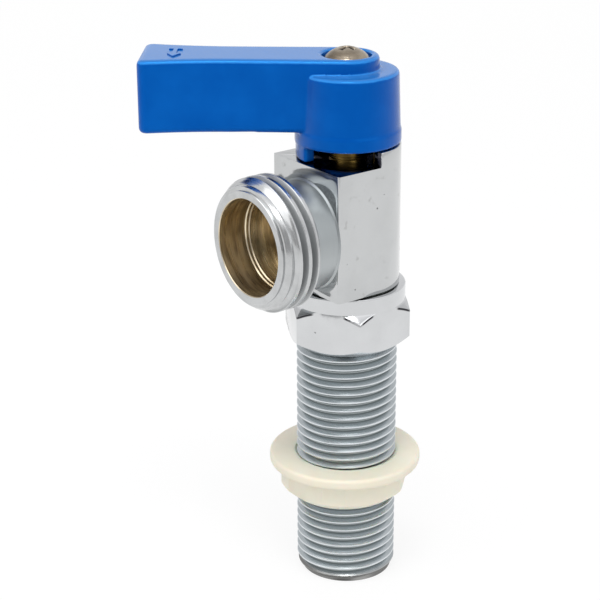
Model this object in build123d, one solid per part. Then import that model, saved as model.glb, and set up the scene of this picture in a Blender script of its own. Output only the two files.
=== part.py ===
from build123d import *
import os
from math import cos, radians, sin, sqrt

# Washing machine valve: a quarter-turn angle ball valve with a threaded inlet shank below,
# a hose outlet to one side and a lever handle on top. Millimetres, +Z up, outlet along -Y,
# origin at the centre of the shank's bottom end. The shank's thread is cut as rings at its pitch,
# and the hose thread and the nut's thread are plain cylinders.

# Inlet shank, a 1/2 in straight pipe thread with a socket for 1/2 in copper tube
shank_diameter = 20.66
shank_length = 51.75
shank_end_diameter = 19.2
shank_end_chamfer = 1.5
shank_pitch = 1.814
shank_thread_depth = 1.1
shank_crest_width = 0.24
shank_relief = 0.37
socket_diameter = 15.97
socket_depth = 12.7
inlet_bore = 12.0

# Hexagon and collar above the shank
hex_across_flats = 23.2
hex_height = 9.35
hex_corner_angle = -27.4
hex_foot_diameter = 21.0
hex_foot_slope = 1.35
collar_diameter = 23.7
collar_height = 3.2
collar_edge = 0.3
spigot_diameter = 16.0
spigot_stop = 7.6
spigot_edge = 0.3
gasket_thickness = 0.35
gasket_diameter = 20.0

# Valve body, flat on the outlet side and round behind
body_width = 21.1
face_distance = 10.6
body_edge = 0.5
outlet_height = 11.85
gland_height = 4.35
stop_wall_height = 3.0
stop_wall_thickness = 2.7

# Hose outlet, a 3/4 in hose thread, distances taken from the valve's vertical axis
outlet_reach = 24.66
hose_thread_diameter = 26.98
hose_thread_length = 5.05
neck_diameter = 21.8
neck_runout = 3.0
neck_root = 0.4
lip_diameter = 24.0
lip_length = 2.61
lip_edge = 0.4
lip_face_diameter = 22.6
mouth_bore = 19.4
mouth_depth = 6.26
bore_diameter = 18.6
bore_step = 0.95

# Ball and seats
ball_diameter = 16.0
port_diameter = 8.0
seat_bore = 8.6
seat_diameter = 11.4
seat_front = 5.8
seat_back = 9.2
retainer_length = 4.0
retainer_drive = 11.0
retainer_drive_depth = 2.4
retainer_edge = 0.4
slot_width = 3.0
slot_depth = 2.6

# Stem with two O-rings, a thrust washer and a drive with two flats
stem_diameter = 7.2
tang_width = 6.6
flange_diameter = 10.0
flange_thickness = 1.0
washer_thickness = 0.5
ring_count = 2
ring_section = 1.0
ring_corner = 0.3
ring_groove_width = 1.2
drive_flats = 6.2
drive_length = 10.0
stem_edge = 0.3
screw_hole_depth = 7.0

# Handle: round hub and a lever that stands above it
rest_angle = 40.0
hub_gap = 0.3
rim_diameter = 21.1
rim_height = 2.8
hub_foot_diameter = 20.7
hub_top_diameter = 19.9
hub_height = 14.3
hub_round = 0.8
hub_wall = 1.9
hub_recess_depth = 6.0
boss_diameter = 11.0
lever_length = 40.15
lever_height = 14.5
lever_head_diameter = 12.9
lever_head_offset = 0.35
lever_waist_width = 12.5
lever_waist_distance = 22.0
lever_tip_width = 16.6
lever_corner = 1.6
lever_edge = 1.0
lever_wall = 2.2
lever_roof = 2.6
lever_core_start = 12.5
lever_rib = 1.6
tab_lead_angle = 2.0
tab_stop_gap = 1.0
tab_thickness = 2.3
tab_inset = 0.2

# Handle screw
screw_diameter = 4.83
screw_length = 11.2
screw_head_diameter = 8.9
screw_head_side = 0.9
screw_head_height = 3.2
screw_point = 0.5
pocket_diameter = 9.7
pocket_depth = 1.8

# Lock nut on the shank
nut_bottom = 17.9
nut_height = 8.7
nut_flange_diameter = 31.5
nut_flange_thickness = 2.3
nut_corner_diameter = 26.4
nut_narrow_face = 4.7
nut_corner_angle = -48.0
nut_foot_diameter = 22.4
nut_foot_slope = 0.84
nut_edge = 0.5

# Clearances on each side
running_gap = 0.05
loose_gap = 0.1
seat_gap = 0.03
slot_gap = 0.05
cavity_gap = 0.4
face_gap = 0.1

# How far joined solids run into each other, and how far a cut runs past a face
joint_overlap = 0.5
cut_past = 1.0
pick_tolerance = 0.01

# Heights along the valve's vertical axis
hex_top = shank_length + hex_height
collar_top = hex_top + collar_height
body_bottom = collar_top + gasket_thickness
outlet_z = body_bottom + outlet_height
ball_radius = ball_diameter / 2
cavity_radius = ball_radius + cavity_gap
flange_bottom = outlet_z + ball_radius + face_gap
flange_top = flange_bottom + flange_thickness
washer_bottom = flange_top + running_gap
washer_top = washer_bottom + washer_thickness
ceiling = washer_top + running_gap
body_top = ceiling + gland_height
ring_heights = [ceiling + gland_height * (2 * index + 1) / (2 * ring_count) for index in range(ring_count)]
stop_wall_top = body_top + stop_wall_height
hub_bottom = stop_wall_top + hub_gap
lever_bottom = hub_bottom + rim_height
lever_top = lever_bottom + lever_height
pocket_floor = lever_top - pocket_depth
drive_bottom = hub_bottom - face_gap
drive_top = drive_bottom + drive_length
spigot_top = outlet_z - spigot_stop
seat_floor = outlet_z - seat_back - seat_gap
seat_pocket = seat_diameter / 2 + running_gap
retainer_inner = cavity_radius - face_gap
hose_thread_end = outlet_reach - lip_length
hose_thread_start = hose_thread_end - hose_thread_length


def turned(points):
    # A solid of revolution about Z from (radius, height) points
    return revolve(Plane.XZ * make_face(Polyline(*points, close=True)), Axis.Z)


def rod(diameter, bottom, top):
    return Pos(0, 0, bottom) * extrude(Circle(diameter / 2), top - bottom)


def ring_block(outer, inner, bottom, top):
    return rod(outer, bottom, top) - rod(inner, bottom - cut_past, top + cut_past)


def bar(width, depth, bottom, top):
    return Pos(0, 0, bottom) * extrude(Rectangle(width, depth), top - bottom)


def hexagon(across_flats):
    return RegularPolygon(across_flats / 2 / cos(radians(30)), 6)


def sector(outer_radius, inner_radius, start, end, bottom, top):
    # A piece of a ring between two angles, in degrees from +X
    middle = (start + end) / 2

    def at(radius, angle):
        return (radius * cos(radians(angle)), radius * sin(radians(angle)))

    outline = ThreePointArc(at(outer_radius, start), at(outer_radius, middle), at(outer_radius, end))
    outline += Line(at(outer_radius, end), at(inner_radius, end))
    outline += ThreePointArc(at(inner_radius, end), at(inner_radius, middle), at(inner_radius, start))
    outline += Line(at(inner_radius, start), at(outer_radius, start))
    return Pos(0, 0, bottom) * extrude(make_face(outline), top - bottom)


# Local Z of this frame runs out along the hose outlet from the ball's centre
outlet_frame = Pos(0, 0, outlet_z) * Rot(90, 0, 0)
inlet_frame = Pos(0, 0, outlet_z) * Rot(180, 0, 0)


def inlet_adapter():
    corner = hex_across_flats / 2 / cos(radians(30))
    foot = hex_foot_diameter / 2
    collar = collar_diameter / 2
    foot_height = (corner - foot) / hex_foot_slope
    prism = Pos(0, 0, shank_length) * Rot(0, 0, hex_corner_angle) * extrude(
        hexagon(hex_across_flats), hex_height)
    envelope = turned([
        (0, shank_length), (foot, shank_length), (corner, shank_length + foot_height),
        (corner, hex_top - (corner - collar)), (collar, hex_top), (0, hex_top)])
    shank = shank_diameter / 2
    root = shank - shank_thread_depth
    groove_half = (shank_pitch - shank_crest_width) / 2
    top_groove = shank_length - shank_relief
    groove_count = int((top_groove - groove_half - shank_end_chamfer) / shank_pitch) + 1
    shank_end = shank_length + joint_overlap
    grooves = []
    for index in reversed(range(groove_count)):
        middle = top_groove - index * shank_pitch
        grooves += [(shank, middle - groove_half), (root, middle), (shank, middle + groove_half)]
    # The topmost groove runs on up into the hexagon
    grooves[-1] = (root, shank_end)
    spigot = spigot_diameter / 2
    collar_bottom = hex_top - joint_overlap
    core = turned([
        (0, 0), (shank_end_diameter / 2, 0), (shank, shank_end_chamfer), *grooves,
        (spigot, shank_end), (spigot, collar_bottom), (collar, collar_bottom),
        (collar, collar_top - collar_edge), (collar - collar_edge, collar_top),
        (spigot, collar_top), (spigot, spigot_top - spigot_edge),
        (spigot - spigot_edge, spigot_top), (0, spigot_top)])
    throat = seat_bore / 2
    bore = inlet_bore / 2
    socket = socket_diameter / 2
    passage = turned([
        (0, -cut_past), (socket, -cut_past), (socket, socket_depth), (bore, socket_depth),
        (bore, hex_top), (throat, hex_top + bore - throat), (throat, seat_floor),
        (seat_pocket, seat_floor), (seat_pocket, outlet_z), (0, outlet_z)])
    return (prism & envelope) + core - passage


def adapter_gasket():
    return ring_block(gasket_diameter, spigot_diameter + 2 * loose_gap, collar_top, body_bottom)


def valve_body():
    half = body_width / 2
    plan = Pos(0, -face_distance / 2) * Rectangle(body_width, face_distance) + Circle(half)
    block = Pos(0, 0, body_bottom) * extrude(plan, body_top - body_bottom)
    corners = block.edges().filter_by(Axis.Z).filter_by(
        lambda edge: edge.center().Y < pick_tolerance - face_distance)
    block = fillet(corners, body_edge)
    wall = sector(half, half - stop_wall_thickness, 0, 180, body_top - joint_overlap, stop_wall_top)
    neck = neck_diameter / 2
    thread = hose_thread_diameter / 2
    lip = lip_diameter / 2
    lip_face = lip_face_diameter / 2
    runout = face_distance - neck_runout
    spout = outlet_frame * turned([
        (0, runout), (half - body_edge, runout), (neck, face_distance - neck_root),
        (neck, hose_thread_start - (thread - neck)), (thread, hose_thread_start),
        (thread, hose_thread_end), (lip, outlet_reach - lip_edge),
        (lip_face, outlet_reach - lip_edge), (lip_face, outlet_reach),
        (0, outlet_reach)])
    bore = bore_diameter / 2
    mouth = mouth_bore / 2
    mouth_end = outlet_reach - mouth_depth
    passage = outlet_frame * turned([
        (0, 0), (cavity_radius, 0), (cavity_radius, retainer_inner), (bore, retainer_inner),
        (bore, mouth_end - bore_step), (mouth, mouth_end), (mouth, outlet_reach + cut_past),
        (0, outlet_reach + cut_past)])
    cavity = Pos(0, 0, outlet_z) * Sphere(cavity_radius)
    spigot_hole = rod(spigot_diameter + 2 * running_gap, body_bottom - cut_past, spigot_top + face_gap)
    seat_hole = rod(seat_diameter + 2 * loose_gap, body_bottom, outlet_z - seat_front + cavity_gap)
    stem_hole = rod(stem_diameter + 2 * running_gap, outlet_z, body_top + cut_past)
    flange_hole = rod(flange_diameter + 2 * loose_gap, outlet_z, ceiling)
    outside = block + wall + spout
    return outside - passage - cavity - spigot_hole - seat_hole - stem_hole - flange_hole


def ball():
    sphere = Sphere(ball_radius)
    port = port_diameter / 2
    down = Pos(0, 0, -ball_radius) * extrude(Circle(port), ball_radius)
    side = Pos(-ball_radius, 0, 0) * Rot(0, 90, 0) * extrude(Circle(port), ball_radius)
    elbow = Sphere(port)
    slot = bar(slot_width, ball_diameter, ball_radius - slot_depth, ball_radius + cut_past)
    return Pos(0, 0, outlet_z) * (sphere - down - side - elbow - slot)


def seat_ring():
    ring = ring_block(seat_diameter, seat_bore, seat_front, seat_back)
    return ring - Sphere(ball_radius + seat_gap)


def inlet_seat():
    return inlet_frame * seat_ring()


def outlet_seat():
    return outlet_frame * seat_ring()


def seat_retainer():
    outer = bore_diameter / 2 - running_gap
    throat = seat_bore / 2
    start = retainer_inner + running_gap
    end = start + retainer_length
    floor = seat_back + seat_gap
    body = turned([
        (throat, floor), (seat_pocket, floor), (seat_pocket, start), (outer, start),
        (outer, end - retainer_edge), (outer - retainer_edge, end), (throat, end)])
    drive = Pos(0, 0, end - retainer_drive_depth) * extrude(
        hexagon(retainer_drive), retainer_drive_depth + cut_past)
    return outlet_frame * (body - drive)


def stem():
    shaft = stem_diameter / 2
    flange = flange_diameter / 2
    body = turned([
        (0, flange_bottom), (flange, flange_bottom), (flange, flange_top), (shaft, flange_top),
        (shaft, drive_bottom), (0, drive_bottom)])
    for height in ring_heights:
        body -= ring_block(stem_diameter + cut_past, stem_diameter - 2 * ring_section,
                           height - ring_groove_width / 2, height + ring_groove_width / 2)
    drive = turned([
        (0, drive_bottom - joint_overlap), (shaft, drive_bottom - joint_overlap),
        (shaft, drive_top - stem_edge), (shaft - stem_edge, drive_top), (0, drive_top)])
    body += drive & bar(drive_flats, stem_diameter, drive_bottom - joint_overlap, drive_top)
    tang_foot = outlet_z + ball_radius - slot_depth + face_gap
    body += bar(slot_width - 2 * slot_gap, tang_width, tang_foot, flange_bottom + joint_overlap)
    return body - rod(screw_diameter + 2 * running_gap, drive_top - screw_hole_depth, drive_top + cut_past)


def stem_thrust_washer():
    return ring_block(flange_diameter, stem_diameter + 2 * running_gap, washer_bottom, washer_top)


def stem_ring(height):
    # An O-ring pressed flat between its groove and the bore
    outer = stem_diameter / 2
    inner = outer - ring_section
    low = height - ring_section / 2
    high = height + ring_section / 2
    return turned([
        (inner, low + ring_corner), (inner + ring_corner, low), (outer - ring_corner, low),
        (outer, low + ring_corner), (outer, high - ring_corner), (outer - ring_corner, high),
        (inner + ring_corner, high), (inner, high - ring_corner)])


def lever_plan():
    # Plan of the lever along +X: a round head, sides that draw in to a waist, a wide square tip
    head = lever_head_diameter / 2
    waist = lever_waist_width / 2
    tip = lever_tip_width / 2
    side_radius = (lever_waist_distance ** 2 + waist ** 2 - head ** 2) / (2 * (head - waist))
    turn = lever_waist_distance / (side_radius + head)
    head_end = (head * turn, head * sqrt(1 - turn ** 2))
    outline = ThreePointArc(head_end, (-head, 0), (head_end[0], -head_end[1]))
    for side in (1, -1):
        side_end = Vector(head_end[0], side * head_end[1])
        waist_point = Vector(lever_waist_distance, side * waist)
        tip_point = Vector(lever_length, side * tip)
        outline += TangentArc(waist_point, side_end, tangent=(-1, 0), tangent_from_first=True)
        outline += TangentArc(waist_point, tip_point, tangent=(1, 0))
    outline += Line((lever_length, tip), (lever_length, -tip))
    return make_face(outline)


def lever():
    plan = lever_plan()
    blade = Pos(0, 0, lever_bottom) * extrude(plan, lever_height)
    tips = blade.edges().filter_by(Axis.Z).filter_by(
        lambda edge: edge.center().X > lever_length - pick_tolerance)
    blade = fillet(tips, lever_corner)
    rims = blade.edges().filter_by(
        lambda edge: abs(abs(edge.center().Z - lever_bottom - lever_height / 2)
                         - lever_height / 2) < pick_tolerance)
    blade = fillet(rims, lever_edge)
    core_plan = offset(plan, -lever_wall) & Pos(lever_core_start + lever_length / 2, 0) * Rectangle(
        lever_length, lever_tip_width)
    core = Pos(0, 0, lever_bottom) * extrude(core_plan, lever_height - lever_roof)
    rib = Pos(lever_waist_distance, 0) * bar(lever_rib, lever_tip_width, lever_bottom, lever_top)
    return blade - (core - rib)


def handle():
    rim = rim_diameter / 2
    top = hub_bottom + hub_height
    hub_top = hub_top_diameter / 2
    hub_foot = hub_foot_diameter / 2
    hub = turned([
        (0, hub_bottom), (rim, hub_bottom), (rim, lever_bottom - (rim - hub_foot)),
        (hub_foot, lever_bottom), (hub_top, top), (0, top)])
    shoulder = hub.edges().filter_by(GeomType.CIRCLE).filter_by(
        lambda edge: edge.center().Z > top - pick_tolerance)
    hub = fillet(shoulder, hub_round)
    recess = ring_block(rim_diameter - 2 * hub_wall, boss_diameter, hub_bottom - cut_past,
                        hub_bottom + hub_recess_depth)
    tab_start = -90 - tab_lead_angle
    tab_end = -180 + tab_stop_gap
    tab = sector(rim - tab_inset, rim - tab_inset - tab_thickness, tab_end, tab_start,
                 body_top + hub_gap, hub_bottom + joint_overlap)
    lever_frame = Rot(0, 0, -90 - rest_angle) * Pos(lever_head_offset, 0, 0)
    body = hub - recess + tab + lever_frame * lever()
    key = rod(stem_diameter + 2 * loose_gap, hub_bottom - cut_past, drive_top + face_gap)
    body -= key & bar(drive_flats + 2 * running_gap, 2 * stem_diameter, hub_bottom - cut_past,
                      drive_top + face_gap)
    body -= rod(screw_diameter + 4 * loose_gap, hub_bottom, lever_top + cut_past)
    return body - lever_frame * rod(pocket_diameter, pocket_floor, lever_top + cut_past)


def handle_screw():
    head = screw_head_diameter / 2
    shaft = screw_diameter / 2
    rise = screw_head_height - screw_head_side
    dome_radius = (head ** 2 + rise ** 2) / (2 * rise)
    top = pocket_floor + screw_head_height
    head_rod = rod(screw_head_diameter, pocket_floor, top)
    dome = Pos(0, 0, top - dome_radius) * Sphere(dome_radius)
    shank = turned([
        (0, pocket_floor + joint_overlap), (shaft, pocket_floor + joint_overlap),
        (shaft, pocket_floor - screw_length + screw_point),
        (shaft - screw_point, pocket_floor - screw_length), (0, pocket_floor - screw_length)])
    return (head_rod & dome) + shank


def lock_nut():
    corner = nut_corner_diameter / 2
    flange = nut_flange_diameter / 2
    foot = nut_foot_diameter / 2
    top = nut_bottom + nut_height
    plate_bottom = top - nut_flange_thickness
    half_narrow = nut_narrow_face / 2
    narrow_distance = sqrt(corner ** 2 - half_narrow ** 2)
    points = []
    for index in range(6):
        turn = radians(nut_corner_angle + 60 * index)
        for side in (-half_narrow, half_narrow):
            points.append((narrow_distance * cos(turn) - side * sin(turn),
                           narrow_distance * sin(turn) + side * cos(turn)))
    grip = Pos(0, 0, nut_bottom) * extrude(make_face(Polyline(*points, close=True)), nut_height)
    cone = (corner - foot) * nut_foot_slope
    envelope = turned([
        (0, nut_bottom), (foot, nut_bottom), (corner, nut_bottom + cone),
        (corner, plate_bottom + joint_overlap), (0, plate_bottom + joint_overlap)])
    plate = turned([
        (0, plate_bottom), (flange - nut_edge, plate_bottom),
        (flange, plate_bottom + nut_edge), (flange, top - nut_edge),
        (flange - nut_edge, top), (0, top)])
    bore = rod(shank_diameter + 2 * running_gap, nut_bottom - cut_past, top + cut_past)
    return (grip & envelope) + plate - bore


nodes = {
    "valve_body": valve_body(),
    "inlet_adapter": inlet_adapter(),
    "adapter_gasket": adapter_gasket(),
    "ball": ball(),
    "inlet_seat": inlet_seat(),
    "outlet_seat": outlet_seat(),
    "seat_retainer": seat_retainer(),
    "stem": stem(),
    "stem_thrust_washer": stem_thrust_washer(),
    "stem_oring_upper": stem_ring(ring_heights[-1]),
    "stem_oring_lower": stem_ring(ring_heights[0]),
    "handle": handle(),
    "handle_screw": handle_screw(),
    "lock_nut": lock_nut(),
}
os.makedirs("parts", exist_ok=True)
for name, solid in nodes.items():
    export_step(solid, f"parts/{name}.step")
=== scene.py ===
import bpy
import bmesh
from math import atan, cos, hypot, pi, radians, sin
from mathutils import Matrix, Vector


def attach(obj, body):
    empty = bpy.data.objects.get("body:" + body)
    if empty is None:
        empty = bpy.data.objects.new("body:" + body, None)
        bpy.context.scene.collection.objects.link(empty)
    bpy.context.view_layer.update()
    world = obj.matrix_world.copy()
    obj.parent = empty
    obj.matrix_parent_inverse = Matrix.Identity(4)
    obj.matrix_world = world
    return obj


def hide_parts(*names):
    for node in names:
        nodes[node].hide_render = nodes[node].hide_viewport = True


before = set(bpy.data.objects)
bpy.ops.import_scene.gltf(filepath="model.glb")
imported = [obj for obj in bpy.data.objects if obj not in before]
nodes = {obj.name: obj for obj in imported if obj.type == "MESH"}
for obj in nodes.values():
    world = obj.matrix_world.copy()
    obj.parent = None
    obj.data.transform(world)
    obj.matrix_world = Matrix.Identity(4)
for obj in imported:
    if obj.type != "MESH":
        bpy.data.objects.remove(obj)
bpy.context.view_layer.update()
scene = bpy.context.scene
mm = 0.001
outletHeight = 76.5  # height of the hose outlet's axis, in mm

# The pieces are modelled in millimetres and made metres when each is finished.
# The outlet is modelled along +Z and then laid along -Y.
toOutlet = Matrix.Translation((0, 0, outletHeight)) @ Matrix.Rotation(radians(90), 4, "X")


# ---------- mesh helpers

def addProfile(bm, points, closed=False, turn=0.0):
    # a chain of edges from (radius, height) points, standing at an angle about Z
    verts = [bm.verts.new((r * cos(turn), r * sin(turn), z)) for r, z in points]
    edges = [bm.edges.new(pair) for pair in zip(verts, verts[1:])]
    if closed:
        edges.append(bm.edges.new((verts[-1], verts[0])))
    return verts + edges


def turnProfile(bm, points, steps=128, closed=True):
    bmesh.ops.spin(bm, geom=addProfile(bm, points, closed), cent=(0, 0, 0), axis=(0, 0, 1),
                   angle=2 * pi, steps=steps, use_merge=True)
    bmesh.ops.remove_doubles(bm, verts=bm.verts, dist=0.002)


def cutFlat(bm, height, up=None):
    # splits the mesh at a height, and clears what lies above it (up True) or below it (up False)
    bmesh.ops.bisect_plane(bm, geom=bm.verts[:] + bm.edges[:] + bm.faces[:], dist=0.0005,
                           plane_co=(0, 0, height), plane_no=(0, 0, -1 if up is False else 1),
                           clear_outer=up is not None)


def cutSide(bm, away, distance):
    # cuts off what lies beyond an upright plane and closes the cut
    bmesh.ops.bisect_plane(bm, geom=bm.verts[:] + bm.edges[:] + bm.faces[:], dist=0.0005,
                           plane_co=away * distance, plane_no=away, clear_outer=True)
    bmesh.ops.edgeloop_fill(bm, edges=[e for e in bm.edges if e.is_boundary])


def fillRing(bm, height, facing):
    # closes a flat ring between an outer and an inner loop that lie at one height
    rim = [e for e in bm.edges if e.is_boundary and all(abs(v.co.z - height) < 0.01 for v in e.verts)]
    bmesh.ops.triangle_fill(bm, use_beauty=True, use_dissolve=False, edges=rim, normal=(0, 0, facing))


def addThread(bm, size, turns, steps=96):
    # one pitch of the profile, wound up along Z as a right-handed screw
    flank = (size["pitch"] - size["crestFlat"] - size["rootFlat"]) / 2
    crest, root, z = size["crestRadius"], size["rootRadius"], size["start"]
    points = [(crest, z), (crest, z + size["crestFlat"]), (root, z + size["crestFlat"] + flank),
              (root, z + size["crestFlat"] + flank + size["rootFlat"]), (crest, z + size["pitch"])]
    bmesh.ops.spin(bm, geom=addProfile(bm, points, turn=radians(size["startAngle"])), cent=(0, 0, 0),
                   axis=(0, 0, 1), dvec=(0, 0, size["pitch"] / steps), angle=2 * pi * turns,
                   steps=steps * turns)
    bmesh.ops.remove_doubles(bm, verts=bm.verts, dist=0.001)


def limitRadius(bm, limit):
    # draws points in to the largest radius that their height allows
    for vert in bm.verts:
        radius = hypot(vert.co.x, vert.co.y)
        allowed = limit(radius, vert.co.z)
        if abs(allowed - radius) > 1e-6:
            vert.co.x *= allowed / radius
            vert.co.y *= allowed / radius


def sharpEdges(bm, angle):
    return [e for e in bm.edges if len(e.link_faces) == 2 and e.calc_face_angle() > radians(angle)]


def roundEdges(bm, edges, width, segments=2):
    bmesh.ops.bevel(bm, geom=edges, offset=width, offset_type="OFFSET", segments=segments,
                    profile=0.5, affect="EDGES", material=-1, clamp_overlap=True)


def joinMesh(bm, other):
    # adds a second bmesh to the first
    carrier = bpy.data.meshes.new("carrier")
    other.to_mesh(carrier)
    other.free()
    bm.from_mesh(carrier)
    bpy.data.meshes.remove(carrier)


def makePiece(name, bm, materials, sharp=32):
    bmesh.ops.recalc_face_normals(bm, faces=bm.faces)
    bmesh.ops.scale(bm, vec=(mm, mm, mm), verts=bm.verts)
    for face in bm.faces:
        face.smooth = True
    mesh = bpy.data.meshes.new(name)
    bm.to_mesh(mesh)
    bm.free()
    for material in materials:
        mesh.materials.append(material)
    mesh.set_sharp_from_angle(angle=radians(sharp))
    piece = bpy.data.objects.new(name, mesh)
    scene.collection.objects.link(piece)
    return piece


def applyModifiers(piece):
    # turns a piece's live modifiers into plain mesh
    evaluated = piece.evaluated_get(bpy.context.evaluated_depsgraph_get())
    mesh = bpy.data.meshes.new_from_object(evaluated)
    piece.modifiers.clear()
    piece.data = mesh


def combine(piece, tools, operation="DIFFERENCE"):
    # cuts the tools away from the piece, or unites them with it
    for tool in tools:
        cut = piece.modifiers.new("cut", "BOOLEAN")
        cut.operation, cut.solver, cut.object = operation, "EXACT", tool
    applyModifiers(piece)
    for tool in tools:
        bpy.data.objects.remove(tool)


def settle(piece, body, slot, *replaced):
    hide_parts(*replaced)
    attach(piece, body)


# ---------- shared shader groups

def addNode(tree, kind, **settings):
    node = tree.nodes.new(kind)
    for key, value in settings.items():
        setattr(node, key, value)
    return node


def setInputs(node, **values):
    for key, value in values.items():
        node.inputs[key.replace("_", " ")].default_value = value


def newGroup(name, inputs, outputs):
    group = bpy.data.node_groups.new(name, "ShaderNodeTree")
    for label, value in inputs.items():
        socket = group.interface.new_socket(label, in_out="INPUT", socket_type="NodeSocketFloat")
        socket.default_value = value
    for label in outputs:
        group.interface.new_socket(label, in_out="OUTPUT", socket_type="NodeSocketFloat")
    return group, addNode(group, "NodeGroupInput"), addNode(group, "NodeGroupOutput")


def mapRange(tree, source, low, high, toLow=0.0, toHigh=1.0):
    node = addNode(tree, "ShaderNodeMapRange", interpolation_type="SMOOTHSTEP")
    setInputs(node, From_Min=low, From_Max=high, To_Min=toLow, To_Max=toHigh)
    tree.links.new(source, node.inputs["Value"])
    return node.outputs["Result"]


def joinValues(tree, operation, *sources):
    result = sources[0]
    for source in sources[1:]:
        node = addNode(tree, "ShaderNodeMath", operation=operation)
        tree.links.new(result, node.inputs[0])
        tree.links.new(source, node.inputs[1])
        result = node.outputs[0]
    return result


def choose(tree, factor, first, second):
    node = addNode(tree, "ShaderNodeMix", data_type="FLOAT")
    for label, source in (("Factor", factor), ("A", first), ("B", second)):
        tree.links.new(source, node.inputs[label])
    return node.outputs["Result"]


def splitCoords(tree, kind="Object"):
    coords = addNode(tree, "ShaderNodeTexCoord")
    parts = addNode(tree, "ShaderNodeSeparateXYZ")
    tree.links.new(coords.outputs[kind], parts.inputs[0])
    return parts.outputs


def makePitGroup():
    # small scattered pits, thinned out by a slow noise
    group, given, result = newGroup("castingPits", {"Scale": 900.0, "Size": 0.16, "Share": 0.62}, ["Mask"])
    coords = addNode(group, "ShaderNodeTexCoord")
    cells = addNode(group, "ShaderNodeTexVoronoi", feature="F1")
    patches = addNode(group, "ShaderNodeTexNoise")
    setInputs(patches, Scale=170.0, Detail=3.0)
    links = group.links
    links.new(coords.outputs["Object"], cells.inputs["Vector"])
    links.new(coords.outputs["Object"], patches.inputs["Vector"])
    links.new(given.outputs["Scale"], cells.inputs["Scale"])
    near = addNode(group, "ShaderNodeMath", operation="LESS_THAN")
    links.new(cells.outputs["Distance"], near.inputs[0])
    links.new(given.outputs["Size"], near.inputs[1])
    rare = addNode(group, "ShaderNodeMath", operation="GREATER_THAN")
    links.new(patches.outputs["Fac"], rare.inputs[0])
    links.new(given.outputs["Share"], rare.inputs[1])
    links.new(joinValues(group, "MULTIPLY", near.outputs[0], rare.outputs[0]), result.inputs["Mask"])
    return group


def makeToneGroup():
    # slow unevenness of tone with a finer grain over it
    group, given, result = newGroup("unevenTone", {"Scale": 60.0, "Grain": 2500.0}, ["Slow", "Fine"])
    coords = addNode(group, "ShaderNodeTexCoord")
    for label, source, detail in (("Slow", "Scale", 4.0), ("Fine", "Grain", 2.0)):
        noise = addNode(group, "ShaderNodeTexNoise")
        setInputs(noise, Detail=detail, Roughness=0.55)
        group.links.new(coords.outputs["Object"], noise.inputs["Vector"])
        group.links.new(given.outputs[source], noise.inputs["Scale"])
        group.links.new(noise.outputs["Fac"], result.inputs[label])
    return group


def makeTurnedGroup():
    # fine lines left by turning, about Z (Along 0) or about the outlet's axis (Along 1)
    group, given, result = newGroup("turnedLines", {"Along": 0.0, "Fineness": 2600.0}, ["Lines", "Bands"])
    parts = splitCoords(group)
    axial = choose(group, given.outputs["Along"], parts["Z"], parts["Y"])
    across = choose(group, given.outputs["Along"], parts["Y"], parts["Z"])
    for label, share, wander in (("Lines", 1.0, 60.0), ("Bands", 0.22, 120.0)):
        fine = addNode(group, "ShaderNodeMath", operation="MULTIPLY")
        scaled = addNode(group, "ShaderNodeMath", operation="MULTIPLY")
        scaled.inputs[1].default_value = share
        group.links.new(given.outputs["Fineness"], scaled.inputs[0])
        group.links.new(axial, fine.inputs[0])
        group.links.new(scaled.outputs[0], fine.inputs[1])
        slow = [addNode(group, "ShaderNodeMath", operation="MULTIPLY") for _ in range(2)]
        group.links.new(parts["X"], slow[0].inputs[0])
        group.links.new(across, slow[1].inputs[0])
        for node in slow:
            node.inputs[1].default_value = wander
        vector = addNode(group, "ShaderNodeCombineXYZ")
        group.links.new(slow[0].outputs[0], vector.inputs["X"])
        group.links.new(slow[1].outputs[0], vector.inputs["Y"])
        group.links.new(fine.outputs[0], vector.inputs["Z"])
        noise = addNode(group, "ShaderNodeTexNoise")
        setInputs(noise, Scale=1.0, Detail=2.0, Roughness=0.6)
        group.links.new(vector.outputs[0], noise.inputs["Vector"])
        group.links.new(noise.outputs["Fac"], result.inputs[label])
    return group


def makePlaceGroup():
    # radius about Z (Along 0) or about the outlet's axis (Along 1), and the distance along it
    group, given, result = newGroup("axisPlace", {"Along": 0.0, "Height": 0.0}, ["Radius", "Distance"])
    parts = splitCoords(group)
    raised = addNode(group, "ShaderNodeMath", operation="SUBTRACT")
    group.links.new(parts["Z"], raised.inputs[0])
    group.links.new(given.outputs["Height"], raised.inputs[1])
    out = addNode(group, "ShaderNodeMath", operation="MULTIPLY")
    out.inputs[1].default_value = -1.0
    group.links.new(parts["Y"], out.inputs[0])
    across = choose(group, given.outputs["Along"], parts["Y"], raised.outputs[0])
    distance = choose(group, given.outputs["Along"], parts["Z"], out.outputs[0])
    plane = addNode(group, "ShaderNodeCombineXYZ")
    group.links.new(parts["X"], plane.inputs["X"])
    group.links.new(across, plane.inputs["Y"])
    radius = addNode(group, "ShaderNodeVectorMath", operation="LENGTH")
    group.links.new(plane.outputs[0], radius.inputs[0])
    group.links.new(radius.outputs["Value"], result.inputs["Radius"])
    group.links.new(distance, result.inputs["Distance"])
    return group


pitGroup = makePitGroup()
placeGroup = makePlaceGroup()
toneGroup = makeToneGroup()
turnedGroup = makeTurnedGroup()


# ---------- materials

def startMaterial(name, color, metallic, roughness, **sockets):
    material = bpy.data.materials.new(name)
    material.use_nodes = True
    shader = material.node_tree.nodes["Principled BSDF"]
    shader.inputs["Base Color"].default_value = (*color, 1)
    shader.inputs["Metallic"].default_value = metallic
    shader.inputs["Roughness"].default_value = roughness
    setInputs(shader, **sockets)
    return material, material.node_tree, shader


def useGroup(tree, group, **values):
    node = addNode(tree, "ShaderNodeGroup", node_tree=group)
    setInputs(node, **values)
    return node


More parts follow.
